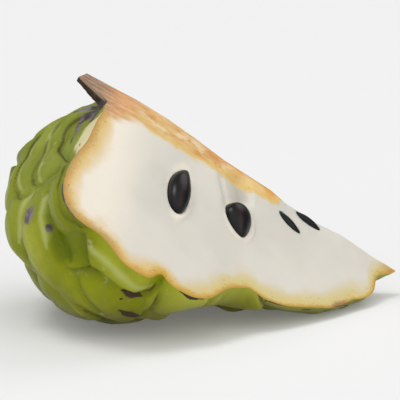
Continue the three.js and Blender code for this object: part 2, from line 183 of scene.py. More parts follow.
def hidden_spots():
    """Staggered rows of spots on the skin that the photograph doesn't show."""
    spots = []
    for row in range(ROW_COUNT):
        place = ROW_FIRST + row * ROW_STEP
        radius = float(at(plain_profile, np.array(place))[1])
        step = math.degrees(ROW_KNOB_WIDTH / max(radius, SMALLEST_ROW_RADIUS))
        angle = ROW_FIRST_ANGLE - (0 if row % 2 == 0 else step / 2)
        while angle < ROW_LAST_ANGLE:
            if place > SHOWN_PLACE or angle < SHOWN_ANGLE:
                spots.append((row, place, radius, angle, step))
            angle += step
    return spots


def row_knobs():
    knobs = []
    for row, place, radius, angle, step in hidden_spots():
        height = ROW_KNOB_HEIGHT * min(1, radius / FULL_HEIGHT_RADIUS)
        knobs.append((place, angle, ROW_KNOB_HALF_LENGTH, ROW_KNOB_HALF_WIDTH, height))
    return knobs


knobs = PLACED_KNOBS + row_knobs()


def knob_height(place, angle, radius):
    """Height of the knobs above the plain skin; the tallest wins where two meet."""
    tallest = np.zeros_like(place)
    for knob_place, knob_angle, half_length, half_width, height in knobs:
        lengthwise = (place - knob_place) * profile_length / half_length
        sideways = np.radians(angle - knob_angle) * radius / half_width
        inside = np.maximum(1 - lengthwise**2 - sideways**2, 0)
        tallest = np.maximum(tallest, height * inside**0.7)
    return (tallest - KNOB_BASE) * end_fade(place, KNOB_TIP_FADE)


def swell_height(place, angle, radius):
    height = np.zeros_like(place)
    for swell_place, swell_angle, reach, swell in SWELLS:
        lengthwise = (place - swell_place) * profile_length / reach
        sideways = np.radians(angle - swell_angle) * radius / reach
        height += swell * np.exp(-(lengthwise**2) - sideways**2)
    return height


# Seams between the knobs. Each is a line of (place, angle) points on the skin. A lapped seam is where
# one knob's lip lies over its neighbour: upper is a point of the knob on top. The others are valleys.
# A smooth seam has no brown line in it.
SEAMS = [
    dict(line=[(0.006, 34), (0.01, -5), (0.024, -20), (0.042, -26), (0.061, -23), (0.079, -10), (0.09, -2),
               (0.098, 12), (0.117, 30), (0.122, 40)], upper=(0.06, 10), depth=1.3),
    dict(line=[(0.045, -44), (0.07, -42), (0.094, -27), (0.118, -17), (0.139, -9), (0.15, -2), (0.156, 8),
               (0.148, 11), (0.139, 13), (0.12, 18), (0.106, 20)], upper=(0.11, 0), depth=1.1),
    dict(line=[(0.1, -44), (0.124, -38), (0.148, -36), (0.165, -25), (0.18, -12), (0.185, 2), (0.174, 8),
               (0.162, 9)], upper=(0.155, -20), depth=1.1),
    dict(line=[(0.16, 10), (0.178, 13), (0.194, 14), (0.222, 15), (0.26, 11), (0.31, 4)],
         upper=(0.22, 22), depth=1.8),
    dict(line=[(0.163, 27), (0.18, 31), (0.2, 33), (0.215, 34), (0.232, 32)], upper=(0.2, 38), depth=1.4),
    dict(line=[(0.21, 36), (0.225, 32), (0.24, 31), (0.261, 30), (0.279, 28.5), (0.297, 27), (0.31, 27.5)],
         upper=(0.26, 20), depth=1.5, smooth=True),
    dict(line=[(0.12, 41), (0.15, 40.5), (0.19, 41.5), (0.215, 42), (0.237, 42), (0.249, 42.3),
               (0.264, 43), (0.277, 43.6), (0.292, 46)], upper=(0.21, 38), depth=1.0),
    dict(line=[(0.277, 43.3), (0.295, 40), (0.309, 37), (0.329, 35), (0.34, 37)],
         upper=(0.31, 41), depth=1.2),
    dict(line=[(0.306, 27.5), (0.316, 29), (0.327, 33), (0.339, 37), (0.356, 38), (0.376, 37.5),
               (0.391, 37.5), (0.412, 35.5), (0.43, 38), (0.434, 42), (0.435, 48)],
         upper=(0.37, 43), depth=2.0),
    dict(line=[(0.318, 30), (0.336, 29), (0.351, 28), (0.379, 26), (0.41, 23)], upper=None, depth=0.9),
    dict(line=[(0.436, 43), (0.452, 37), (0.462, 28), (0.455, 18), (0.43, 11), (0.39, 8), (0.34, 10)],
         upper=(0.4, 25), depth=2.2),
    dict(line=[(0.585, 48), (0.545, 44), (0.528, 38), (0.52, 28), (0.51, 18)], upper=(0.48, 36), depth=2.0),
    dict(line=[(0.6, 48), (0.652, 43), (0.657, 34), (0.65, 24), (0.62, 16)], upper=(0.59, 36), depth=2.4),
    dict(line=[(0.862, 48), (0.858, 36), (0.84, 24), (0.8, 14), (0.74, 13), (0.7, 20)],
         upper=(0.77, 34), depth=1.6),
    dict(line=[(0.95, 48), (0.952, 30), (0.945, 10), (0.93, -8)], upper=(0.91, 28), depth=1.2),
]
HIDDEN_SEAM_DEPTH, HIDDEN_FULL_RADIUS = 1.6, 45
HIDDEN_LIP_REACH, HIDDEN_LIP_WAVE = 10.5, 0.8
HIDDEN_LIP_TURNS = np.radians(np.arange(-110, 111, 27.5))
SEAM_STEPS = 5
SEAM_REACH = 4.0
SEAM_SEARCH_MARGIN = 16
SEAM_END_TAPER = 0.14
# Cross-section of a seam: shares of its depth, and reaches in mm.
VALLEY, VALLEY_REACH = 0.55, 2.6
CREASE, CREASE_REACH = 0.45, 0.9
LIP, LIP_EDGE, LIP_REACH = 0.5, 0.28, 7
DIP, DIP_REACH = 0.75, 3.0
GROOVE, GROOVE_REACH = 0.25, 0.7
# How much fainter the brown line of a seam is: where it ends, where it is shallow, where it is smooth.
FAINT_END, FAINT_SHALLOW, SHALLOW_DEPTH, FAINT_SMOOTH = 1.5, 0.3, 1.4, 0.6


def hidden_seams():
    """Rounded lower lips of the knobs on the side that the photograph doesn't show."""
    seams = []
    for row, place, radius, angle, step in hidden_spots():
        line = []
        for turn in HIDDEN_LIP_TURNS:
            reach = HIDDEN_LIP_REACH + HIDDEN_LIP_WAVE * math.sin(7 * angle + 3 * row + 2 * turn)
            line.append((place + reach / profile_length * math.cos(turn),
                         angle + step * 0.5 * math.sin(turn)))
        depth = HIDDEN_SEAM_DEPTH * min(1, radius / HIDDEN_FULL_RADIUS)
        seams.append(dict(line=line, upper=(place, angle), depth=depth))
    return seams


def along_line(points, steps):
    """A smooth denser line through (place, angle) points."""
    points = np.array(points, float)
    spots = np.linspace(0, 1, (len(points) - 1) * steps + 1)
    return np.stack([catmull_rom(points[:, i], spots) for i in (0, 1)], axis=-1)


def line_distance(line, skin, normal):
    """Distance from skin points to a line on the skin, which side they lie on, and how far along it."""
    dense = along_line(line, SEAM_STEPS)
    corner = plain_skin(dense[:, 0], dense[:, 1])
    best = np.full(len(skin), 1e9)
    side = np.zeros(len(skin))
    along = np.zeros(len(skin))
    count = len(corner) - 1
    for i in range(count):
        run = corner[i + 1] - corner[i]
        offset = skin - corner[i]
        t = np.clip(offset @ run / (run @ run), 0, 1)
        gap = offset - t[:, None] * run
        distance = np.linalg.norm(gap, axis=1)
        closer = distance < best
        best = np.where(closer, distance, best)
        turn = np.einsum("ij,ij->i", np.cross(run[None], gap), normal)
        side = np.where(closer, np.sign(turn), side)
        along = np.where(closer, (i + t) / count, along)
    return best, side, along


def hump(distance, reach):
    return np.exp(-((distance / reach) ** 2))


def lapped_seam(mark, depth, distance, side):
    """Raised lip of the knob on top, and the dip pressed into the knob below it."""
    spot = np.array([mark["upper"]], float)
    reference = plain_skin(spot[:, 0], spot[:, 1])
    _, upper_side, _ = line_distance(mark["line"], reference, reference * [[0, 1, 1]])
    signed = distance * side * upper_side[0]
    over = 1 / (1 + np.exp(-np.clip(signed / LIP_EDGE, -30, 30)))
    lip = LIP * depth * over * np.exp(-np.abs(signed) / LIP_REACH)
    press = -DIP * depth * (1 - over) * np.exp(-np.abs(signed) / DIP_REACH)
    return lip, press - GROOVE * depth * hump(distance, GROOVE_REACH)


def seam_relief(skin, normal):
    """Raised lips and pressed-in valleys of all the seams, and how far from a seam each point lies."""
    raised = np.zeros(len(skin))
    pressed = np.zeros(len(skin))
    seam = np.full(len(skin), SEAM_REACH)
    for mark in SEAMS + hidden_seams():
        dense = along_line(mark["line"], SEAM_STEPS)
        corner = plain_skin(dense[:, 0], dense[:, 1])
        near = np.linalg.norm(skin - corner.mean(0), axis=1)
        span = np.linalg.norm(corner - corner.mean(0), axis=1).max()
        chosen = np.flatnonzero(near < span + SEAM_SEARCH_MARGIN)
        if len(chosen) == 0:
            continue
        distance, side, along = line_distance(mark["line"], skin[chosen], normal[chosen])
        taper = np.clip(np.minimum(along, 1 - along) / SEAM_END_TAPER, 0, 1)
        taper = taper * taper * (3 - 2 * taper)
        depth = mark["depth"] * taper
        if mark["upper"] is None:
            valley = VALLEY * np.exp(-distance / VALLEY_REACH) + CREASE * hump(distance, CREASE_REACH)
            lip, press = np.zeros_like(distance), -depth * valley
        else:
            lip, press = lapped_seam(mark, depth, distance, side)
        raised[chosen] = np.maximum(raised[chosen], lip)
        pressed[chosen] = np.minimum(pressed[chosen], press)
        faint = FAINT_END * (1 - taper) + FAINT_SHALLOW * max(SHALLOW_DEPTH - mark["depth"], 0)
        faint += FAINT_SMOOTH * mark.get("smooth", False)
        seam[chosen] = np.minimum(seam[chosen], distance + faint)
    return raised + pressed, seam


def surface_normals(points):
    """Outward normals of a (rows, columns, 3) grid of skin points."""
    along = np.gradient(points, axis=0)
    around = np.gradient(points, axis=1)
    normal = np.cross(around, along)
    normal /= np.maximum(np.linalg.norm(normal, axis=-1), 1e-9)[..., None]
    return normal


def smooth_noise(points, size, seed):
    """Soft noise from -1 to 1 with features of a size in mm."""
    shift = Vector((seed * 17.3, seed * 5.1, seed * 9.7))
    return np.array([noise.noise(Vector(p) / size + shift) for p in points])


# Marks on the skin: a line of (place, angle) points, and how far from it the mark reaches in mm.
# Scars are grey near the stalk and brown further on. Hollows get a darker green as painted shade, and the
# lips a painted sheen.
SCARS = [
    ([(0.0, 34), (0.006, -5), (0.015, -14), (0.03, -20), (0.042, -13), (0.055, 0), (0.072, 10)], 2.1),
    ([(0.0, 22), (0.003, -15), (0.018, -36), (0.03, -37), (0.045, -41)], 1.6),
    ([(0.006, 30), (0.015, 8), (0.027, 17), (0.031, 24)], 2.9),
    ([(0.214, 19.5), (0.214, 21)], 3.7),
    ([(0.242, 30.3), (0.25, 30.1)], 0.8),
    ([(0.113, -12), (0.117, -11)], 0.6),
    ([(0.135, -37), (0.139, -36)], 0.6),
    ([(0.093, 37), (0.096, 37.6)], 0.6),
    ([(0.39, 35.3), (0.41, 34.8), (0.43, 35)], 1.7),
    ([(0.412, 28.8), (0.438, 27.8), (0.464, 28.6)], 2.1),
    ([(0.396, 32.7), (0.399, 33)], 0.5),
    ([(0.47, 45), (0.49, 44.7), (0.512, 45)], 1.2),
    ([(0.649, 43.5), (0.669, 45), (0.693, 45)], 0.8),
    ([(0.735, 42), (0.75, 41.5)], 0.9),
    ([(0.785, 41), (0.795, 41)], 0.9),
    ([(0.798, 45), (0.812, 44.5), (0.825, 44.6), (0.84, 45)], 1.4),
    ([(0.838, 38), (0.848, 38)], 0.5),
    ([(0.651, 18), (0.655, 19)], 0.6),
    ([(0.648, 30), (0.65, 30)], 0.5),
    ([(0.18, 45), (0.209, 44.6), (0.235, 45), (0.258, 45)], 0.65),
    ([(0.23, -22), (0.236, -20)], 0.8),
    ([(0.42, -8), (0.43, -5)], 0.8),
    ([(0.61, -31), (0.613, -27)], 0.7),
    ([(0.34, -38), (0.35, -39)], 1.0),
    ([(0.52, -21), (0.526, -23)], 0.6),
    ([(0.74, -12), (0.75, -10)], 0.6),
]
CREAM_BANDS = [([(0.03, 46), (0.044, 43), (0.058, 39), (0.075, 38), (0.09, 40), (0.11, 45)], 5.4)]
SHADED_HOLLOWS = [([(0.262, 34), (0.285, 31), (0.303, 30.5)], 5), ([(0.64, 40), (0.645, 30)], 4)]
SHEEN_LIPS = [
    ([(0.165, 17), (0.176, 9.5), (0.195, 8.5), (0.215, 8.5), (0.235, 8.8), (0.255, 7)], 2.4),
    ([(0.18, 37), (0.188, 29), (0.205, 28.5), (0.225, 28.6), (0.25, 28.5), (0.27, 27)], 2.2),
    ([(0.085, -34), (0.112, -13), (0.138, 1), (0.146, 8)], 1.3),
    ([(0.12, -33), (0.15, -26), (0.17, -10), (0.174, 2)], 1.3),
    ([(0.298, 39.5), (0.318, 40.5), (0.345, 42), (0.375, 41.5), (0.405, 40.5), (0.425, 41)], 2.2),
]


# Share of its reach that a mark keeps at its ends, and how much of its length narrows.
MARK_END_SHARE, MARK_TAPER, SCAR_TAPER = 0.35, 0.15, 0.4


def mark_strength(marks, skin, normal, taper=MARK_TAPER):
    """From 1 on a mark's line to 0 where it ends. Lines of more than two points narrow at their ends."""
    strength = np.zeros(len(skin))
    for line, reach in marks:
        distance, _, along = line_distance(line, skin, normal)
        ends = 1
        if len(line) > 2:
            ends = np.clip(np.minimum(along, 1 - along) / taper, MARK_END_SHARE, 1)
        strength = np.maximum(strength, 1 - distance / (reach * ends))
    return np.maximum(strength, 0)


def flat_round(radius, angle):
    """Radius of the stalk's bark at an angle: between a round stem and a straight chord."""
    chord = math.cos(math.radians(CUT_HALF_ANGLE)) / np.cos(np.radians(angle))
    return radius * (1 - BARK_FLATNESS + BARK_FLATNESS * chord)


# Fine unevenness of the skin: size of the waves in mm, seed, height.
WAVES = [(11, 1, 0.5), (4, 2, 0.16)]
THINNEST = 0.5


def skin_grid():
    """The knobbly skin as a grid: rows from stalk to tip, columns from the far cut to the near cut."""
    place = np.linspace(0, 1, ROWS + 1)[:, None] + np.zeros((1, SKIN_COLUMNS + 1))
    angle = np.linspace(-CUT_HALF_ANGLE, CUT_HALF_ANGLE, SKIN_COLUMNS + 1)[None] + np.zeros((ROWS + 1, 1))
    plain = plain_point(place, angle)
    normal = profile_normal(place)
    flat = in_fruit(plain, angle)
    flat_normal = surface_normals(flat)
    outside = in_fruit(normal, angle)
    flat_normal *= np.sign(np.einsum("ijk,ijk->ij", flat_normal, outside))[..., None]
    flat, flat_normal = flat.reshape(-1, 3), flat_normal.reshape(-1, 3)
    relief, seam = (values.reshape(place.shape) for values in seam_relief(flat, flat_normal))
    for size, seed, height in WAVES:
        relief = relief + smooth_noise(flat, size, seed).reshape(place.shape) * height
    total = knob_height(place, angle, plain[..., 1]) + swell_height(place, angle, plain[..., 1])
    total += relief * end_fade(place, TIP_FADE)
    spot = plain + normal * total[..., None]
    rim_offset = at(rim_outline, place[:, -1]) - spot[:, -1]
    from_rim = np.radians(CUT_HALF_ANGLE - angle) * plain[..., 1]
    spot += rim_offset[:, None] * hump(from_rim, RIM_FADE)[..., None]
    spot[0, :, 0] = SEAT_A
    spot[0, :, 1] = flat_round(SEAT_RADIUS, angle[0])
    spot[..., 1] = np.maximum(spot[..., 1], THINNEST)
    marks = {"scar": mark_strength(SCARS, flat, flat_normal, SCAR_TAPER).reshape(place.shape), "place": place}
    for name, lines in (("cream", CREAM_BANDS), ("hollow_shade", SHADED_HOLLOWS), ("lip_sheen", SHEEN_LIPS)):
        marks[name] = mark_strength(lines, flat, flat_normal).reshape(place.shape)
    return place, angle, spot, seam, total, marks


# The inner edge of the wedge rises a little along the core and dips where the last seed lies bare.
RIDGE_LINE = [(-3, -1.0), (6, -1.7), (17, -1.9), (28, -1.4), (40, -0.5), (58, -0.4), (65, 0.6), (78, 0.7),
              (87, -0.3), (101, 0.2), (106, 0), (FRUIT_LENGTH, 0)]
RIDGE_REACH = 9
RIDGE_START, RIDGE_START_RATE = 0.02, 250


def ridge_drop(along, from_ridge):
    line = np.array(RIDGE_LINE, float)
    return np.interp(along, line[:, 0], line[:, 1]) * hump(from_ridge, RIDGE_REACH)


# Seed sockets and what the knife left round them: cut face (1 near, -1 far), place along the axis,
# distance from the axis, direction of the narrow end in degrees, height of the middle above the face,
# roll, and length, width, thickness.
SEEDS = {
    "seed_1": (1, 26.3, 22.5, -92, 0.2, 0, (17.2, 7.4, 6.4)),
    "seed_2": (1, 47.6, 19.8, 67, -0.4, 0, (12, 9.3, 6.4)),
    "seed_3": (1, 66.7, 8.5, 24, -3.1, 90, (13, 7.4, 4.4)),
    "seed_4": (1, 73.9, 2.8, 7, -2.9, 90, (12.6, 6.6, 3.8)),
    "seed_5": (-1, 20.5, 31.5, -70, 0.1, 0, (16.8, 8.2, 6.2)),
    "seed_6": (-1, 43.5, 25.5, -112, -0.8, 15, (16.2, 8, 6)),
    "seed_7": (-1, 62, 15.5, 150, -2.4, 0, (15, 7.6, 5.8)),
}
# Empty pocket in the far face: face, along, out, turn, half length, half width, depth.
POCKETS = [(-1, 30, 14.5, -60, 7.2, 4.4, 2.6)]
# Bare sac of flesh beside the second seed: where its crisp edge starts and ends, and how the cut
# face dips into the crease and then rises over the sac: distance past the crease, height.
SAC_EDGE = ((37.8, 6.6), (41.8, 16.6))
SAC_PROFILE = [(-4, 0), (-1.6, 0.12), (-0.4, 0.02), (0.8, -0.6), (1.7, -0.75), (2.7, -0.55), (4, -0.9),
               (8, -1.5), (11, -1.1), (12.3, 0.05), (13.1, 0.35), (14.2, 0.2), (17, 0)]
# How the crease fades at its two ends, in mm, and how far its far end leans over the sac.
SAC_LEAD, SAC_START_FADE, SAC_END_FADE, SAC_END_LEAN = 1, 2.5, 4, 0.35
# Lips that the knife raised beside seeds: direction from the seed's middle, in its own length and width.
LIPS = {"seed_1": (-0.75, -0.66), "seed_2": (0.1, 1)}
# Lips round a seed and round a pocket: height in mm, then distance from the middle and width in half sizes.
SEED_LIP = (0.65, 1.18, 0.13)
POCKET_LIP = (0.35, 1.12, 0.14)


def face_local(along, out, centre_along, centre_out, turn):
    """Lengthwise and sideways distances in a cut face, from a centre and along a direction."""
    turn = math.radians(turn)
    x, y = along - centre_along, out - centre_out
    return x * math.cos(turn) + y * math.sin(turn), -x * math.sin(turn) + y * math.cos(turn)


def lip_height(reach, lip):
    height, middle, width = lip
    return height * hump(reach - middle, width)


def sac_height(along, out):
    """Height of the bare sac and the crease beside it over the near cut face."""
    (start_along, start_out), (end_along, end_out) = SAC_EDGE
    length = math.hypot(end_along - start_along, end_out - start_out)
    turn = math.degrees(math.atan2(end_out - start_out, end_along - start_along))
    x, y = face_local(along, out, start_along, start_out, turn)
    past, low = np.array(SAC_PROFILE).T
    left = length + SAC_END_FADE - x - SAC_END_LEAN * np.maximum(-y, 0)
    window = np.clip(np.minimum((x + SAC_LEAD) / SAC_START_FADE, left / SAC_END_FADE), 0, 1)
    return np.interp(-y, past, low) * window * window * (3 - 2 * window)


def face_relief(face, along, out):
    """How far the cut flesh stands proud of the flat cut, in mm."""
    height = sac_height(along, out) if face == 1 else np.zeros_like(along)
    for pocket_face, centre_along, centre_out, turn, half_length, half_width, depth in POCKETS:
        if pocket_face == face:
            x, y = face_local(along, out, centre_along, centre_out, turn)
            q = np.hypot(x / half_length, y / half_width)
            height += lip_height(q, POCKET_LIP) - depth * np.clip(1 - q**2.4, 0, 1) ** 0.8
    for name, (lengthwise, sideways) in LIPS.items():
        seed_face, centre_along, centre_out, turn, lift, roll, size = SEEDS[name]
        if seed_face == face:
            x, y = face_local(along, out, centre_along, centre_out, turn)
            x, y = x / size[0] * 2, -y / size[1] * 2
            q = np.maximum(np.hypot(x, y), 0.01)
            facing = np.clip((x * lengthwise + y * sideways) / q, 0, 1) ** 2
            height += facing * lip_height(q, SEED_LIP)
    return height


# How the rows of points crowd towards the ridge of the cut faces: an even share, and a power for the rest.
EVEN_SHARE, CROWDING, ROW_LEAN = 0.35, 1.6, 1.5
# Unevenness of the cut faces: size in mm, seed, height. It fades out near the ridge and the rim.
CUT_WAVE = (14, 3, 0.3)
RIDGE_FADE, CUT_RIM_FADE = 5, 2
FAR_FACE_SHIFT = 200


def cut_face(face, rim, place, ridge_along, share):
    """Points of one cut face, row by row from its ridge to its rim."""
    along = ridge_along[:, None] + (rim[:, 0] - ridge_along)[:, None] * share**ROW_LEAN
    out = rim[:, 1][:, None] * share
    bend = np.radians(CUT_HALF_ANGLE) * np.minimum(out / RIDGE_ROUNDING, 1)
    rounded = out < RIDGE_ROUNDING
    down = np.where(rounded, RIDGE_ROUNDING * (math.sqrt(2) - np.cos(bend)), out * math.sqrt(0.5))
    across = np.where(rounded, RIDGE_ROUNDING * np.sin(bend), out * math.sqrt(0.5))
    down = down + ridge_drop(along, out)
    size, seed, height = CUT_WAVE
    flat = np.stack([along, out + face * FAR_FACE_SHIFT, 0 * out], -1).reshape(-1, 3)
    proud = face_relief(face, along, out) + height * smooth_noise(flat, size, seed).reshape(along.shape)
    from_rim = (1 - share)[None] * rim[:, 1][:, None]
    fade = np.clip(np.minimum(out / RIDGE_FADE, from_rim / CUT_RIM_FADE), 0, 1)
    proud = proud * fade * end_fade(place[:, :1], TIP_FADE) * math.sqrt(0.5)
    return np.stack([along, -face * (across + proud), proud - down], axis=-1)


def wedge_points():
    """Every point of the wedge's grid: far cut face, skin, near cut face, column by column."""
    place, angle, spot, seam, total, marks = skin_grid()
    step = np.linspace(0, 1, FACE_COLUMNS + 1)
    share = EVEN_SHARE * step + (1 - EVEN_SHARE) * step**CROWDING
    row = np.linspace(0, 1, ROWS + 1)
    start = RIDGE_START * (1 - np.exp(-row * RIDGE_START_RATE))
    ridge_along = SEAT_A + (FRUIT_LENGTH - 0.1 - SEAT_A) * (row * (1 - RIDGE_START) + start)
    far = cut_face(-1, spot[:, 0], place, ridge_along, share)
    near = cut_face(1, spot[:, -1], place, ridge_along, share)
    return far, in_fruit(spot, angle), near, seam, total, marks


def make_object(name, bm, materials):
    mesh = bpy.data.meshes.new(name)
    bm.to_mesh(mesh)
    bm.free()
    piece = bpy.data.objects.new(name, mesh)
    bpy.context.scene.collection.objects.link(piece)
    for material in materials:
        mesh.materials.append(material)
    mesh.shade_smooth()
    return piece


# Where the fruit's frame lies in the shared frame: the tip is the wedge's furthest point along X,
# the seat of the stalk its highest, and the widest point of the near rim its nearest.
wedge_low, wedge_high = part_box("fruit_wedge")
crest = RIDGE_ROUNDING * (math.sqrt(2) - 1)
tip_reach = (FRUIT_LENGTH - 0.15) * math.cos(AXIS_PITCH) - crest * math.sin(AXIS_PITCH)
seat_rise = -SEAT_A * math.sin(AXIS_PITCH) - crest * math.cos(AXIS_PITCH)
rim_reach = rim_outline[:, 1].max() * math.sin(math.radians(CUT_HALF_ANGLE))
fruit_origin = Vector((
    wedge_high[0] - tip_reach * MM,
    wedge_low[1] + rim_reach * MM,
    wedge_high[2] - seat_rise * MM,
))
fruit_matrix = Matrix.Translation(fruit_origin) @ Matrix.Rotation(AXIS_PITCH, 4, "Y") @ Matrix.Scale(MM, 4)


def to_shared(points):
    """Points of the fruit's frame in mm, as points of the shared frame in metres."""
    matrix = np.array(fruit_matrix)
    return points @ matrix[:3, :3].T + matrix[:3, 3]


def to_fruit(points):
    matrix = np.array(fruit_matrix.inverted())
    return points @ matrix[:3, :3].T + matrix[:3, 3]


def lay_seed(name, bm):
    """Lays a seed, or its socket, in its cut face: it was made along X and thin along Z."""
    face, along, out, turn, lift, roll, size = SEEDS[name]
    angle = math.radians(face * CUT_HALF_ANGLE)
    outward = Vector((0, -math.sin(angle), -math.cos(angle)))
    proud = Vector((0, -face * math.cos(angle), math.sin(abs(angle))))
    axis = Vector((1, 0, 0))
    narrow = axis * math.cos(math.radians(turn)) + outward * math.sin(math.radians(turn))
    spot = axis * along + outward * out + proud * lift
    basis = Matrix((narrow, proud.cross(narrow), proud)).transposed().to_4x4()
    rolled = Matrix.Translation(spot) @ basis @ Matrix.Rotation(math.radians(roll), 4, "X")
    bmesh.ops.transform(bm, matrix=fruit_matrix @ rolled, verts=bm.verts)


# Taper of a seed, how far its narrow and its broad end lean towards its straight side, in half widths,
# and how blunt its ends are: 2 for an egg, more for a blunter one.
USUAL_SHAPE = (0.16, 0.3, 0.1, 2)
SEED_SHAPES = {
    "seed_1": (0.16, 0.34, 0, 2), "seed_2": (0.3, 0, -0.26, 2),
    "seed_3": (0.05, 0, 0, 2.25), "seed_4": (0.05, 0, 0, 2.25),
}
NEAR_POLE = 0.999
ROUND_SIDE, STRAIGHT_SIDE, ENDS_SLIMMED = 1.06, 0.88, 0.1


def blunt_end(x, bluntness):
    """How much wider than an egg a blunter seed is, at a place from -1 to 1 along it."""
    if abs(x) > NEAR_POLE:
        return 1
    return (1 - abs(x) ** bluntness) ** (1 / bluntness) / math.sqrt(1 - x * x)


def seed_bmesh(name, extra, segments):
    """A seed: a flattened egg, narrow at +X, rounder on its +Y side and straighter on the other."""
    length, width, thickness = SEEDS[name][-1]
    taper, narrow_lean, broad_lean, bluntness = SEED_SHAPES.get(name, USUAL_SHAPE)
    bm = bmesh.new()
    bmesh.ops.create_uvsphere(bm, u_segments=segments, v_segments=segments // 2, radius=1)
    bmesh.ops.rotate(bm, verts=bm.verts, matrix=Matrix.Rotation(math.radians(90), 3, "Y"))
    for vert in bm.verts:
        x, y, z = vert.co
        slim = 1 - taper * x - ENDS_SLIMMED * x * x
        slim *= blunt_end(x, bluntness)
        lean = (narrow_lean if x > 0 else broad_lean) * abs(x) ** 3
        side = ROUND_SIDE if y > 0 else STRAIGHT_SIDE
        vert.co = (x * (length / 2 + extra), y * (side * slim * width / 2 + extra) - lean * width / 2,
                   z * (slim * thickness / 2 + extra))
    return bm


# Gap between a seed and its socket, and how close two points of the grid have to be to become one.
SOCKET_GAP = 0.22
MERGE_REACH = 0.02
SOCKET_SEGMENTS, SEED_SEGMENTS = 40, 64

far, skin, near, seam, total, marks = wedge_points()
column_count = FACE_COLUMNS * 2 + SKIN_COLUMNS
grid = np.concatenate([far, skin[:, 1:], near[:, ::-1][:, 1:]], axis=1)
skin_span = slice(FACE_COLUMNS, FACE_COLUMNS + SKIN_COLUMNS + 1)
skin_values = dict(marks, seam=seam, lobe=total)
shared = to_shared(grid.reshape(-1, 3)).reshape(grid.shape)
shared[..., 2] = np.maximum(shared[..., 2], 0)

bm = bmesh.new()
bmesh.ops.create_grid(bm, x_segments=ROWS, y_segments=column_count, size=1)
layers = {name: bm.verts.layers.float.new(name) for name in skin_values}
for vert in bm.verts:
    row = round((vert.co.x + 1) / 2 * ROWS)
    column = round((vert.co.y + 1) / 2 * column_count)
    if skin_span.start <= column < skin_span.stop:
        for name, values in skin_values.items():
            vert[layers[name]] = values[row, column - skin_span.start]
    vert.co = (row, column, 0)
for face in bm.faces:
    column = face.calc_center_median().y
    face.material_index = 0 if FACE_COLUMNS < column < FACE_COLUMNS + SKIN_COLUMNS else 1
for vert in bm.verts:
    vert.co = shared[round(vert.co.x), round(vert.co.y)]
bmesh.ops.remove_doubles(bm, verts=bm.verts, dist=MERGE_REACH * MM)
seat = bmesh.ops.holes_fill(bm, edges=[edge for edge in bm.edges if edge.is_boundary], sides=0)
for face in seat["faces"]:
    face.material_index = 1
bmesh.ops.recalc_face_normals(bm, faces=bm.faces)


def srgb(code):
    """An sRGB hex colour as linear RGBA."""
    channels = [int(code[i:i + 2], 16) / 255 for i in (1, 3, 5)]
    linear = [c / 12.92 if c <= 0.04045 else ((c + 0.055) / 1.055) ** 2.4 for c in channels]
    return (*linear, 1)


def add(tree, kind, links=None, output=0, **settings):
    """Adds a node and returns one of its outputs. Links maps its inputs to other outputs, to values or
    to sRGB hex colours."""
    made = tree.nodes.new(kind)
    for name, value in settings.items():
        setattr(made, name, value)
    for name, value in (links or {}).items():
        if isinstance(value, bpy.types.NodeSocket):
            tree.links.new(value, made.inputs[name])
        else:
            made.inputs[name].default_value = srgb(value) if isinstance(value, str) else value
    return made.outputs[output]


def new_material(name):
    material = bpy.data.materials.new(name)
    material.use_nodes = True
    tree = material.node_tree
    return material, tree, tree.nodes["Principled BSDF"]


def patterns(tree, *rows):
    """The uneven patterns of a grown surface. A row is the size of the features in mm, their detail and
    roughness, and for one that runs lengthwise how far it is stretched and how its axis is pitched."""
    place = add(tree, "ShaderNodeTexCoord", output="Object")
    made = []
    for size, detail, rough, *lengthwise in rows:
        stretch, pitch = lengthwise or ((1, 1, 1), 0)
        turned = add(tree, "ShaderNodeMapping", {"Vector": place, "Rotation": (0, pitch, 0)},
                     vector_type="TEXTURE")
        scale = tuple(1 / (size * MM * s) for s in stretch)
        scaled = add(tree, "ShaderNodeMapping", {"Vector": turned, "Scale": scale})
        made.append(add(tree, "ShaderNodeTexNoise", {
            "Vector": scaled, "Scale": 1, "Detail": detail, "Roughness": rough}))
    return made


def stepped(tree, *steps):
    """Product of smooth steps. A step is the value that steers it, the two values that it runs between,
    and what it goes from and to, usually 0 and 1."""
    product = 1
    for steer, low, high, *ends in steps:
        start, end = ends or (0, 1)
        step = add(tree, "ShaderNodeMapRange", {
            "Value": steer, "From Min": low, "From Max": high, "To Min": start, "To Max": end},
            interpolation_type="SMOOTHSTEP")
        product = add(tree, "ShaderNodeMath", {0: product, 1: step}, operation="MULTIPLY")
    return product


def ragged(tree, value, *ways):
    """A value made uneven by patterns, each with how far it moves the value from end to end."""
    for pattern, amount in ways:
        shift = add(tree, "ShaderNodeMath", {0: pattern, 1: 0.5}, operation="SUBTRACT")
        value = add(tree, "ShaderNodeMath", {0: shift, 1: amount, 2: value}, operation="MULTIPLY_ADD")
    return value


def layered(tree, colour, *layers):
    """Lays colours over one another. A layer is its colour and the smooth steps of its share."""
    for over, *steps in layers:
        colour = add(tree, "ShaderNodeMix", {0: stepped(tree, *steps), 6: colour, 7: over}, output=2,
                     data_type="RGBA")
    return colour


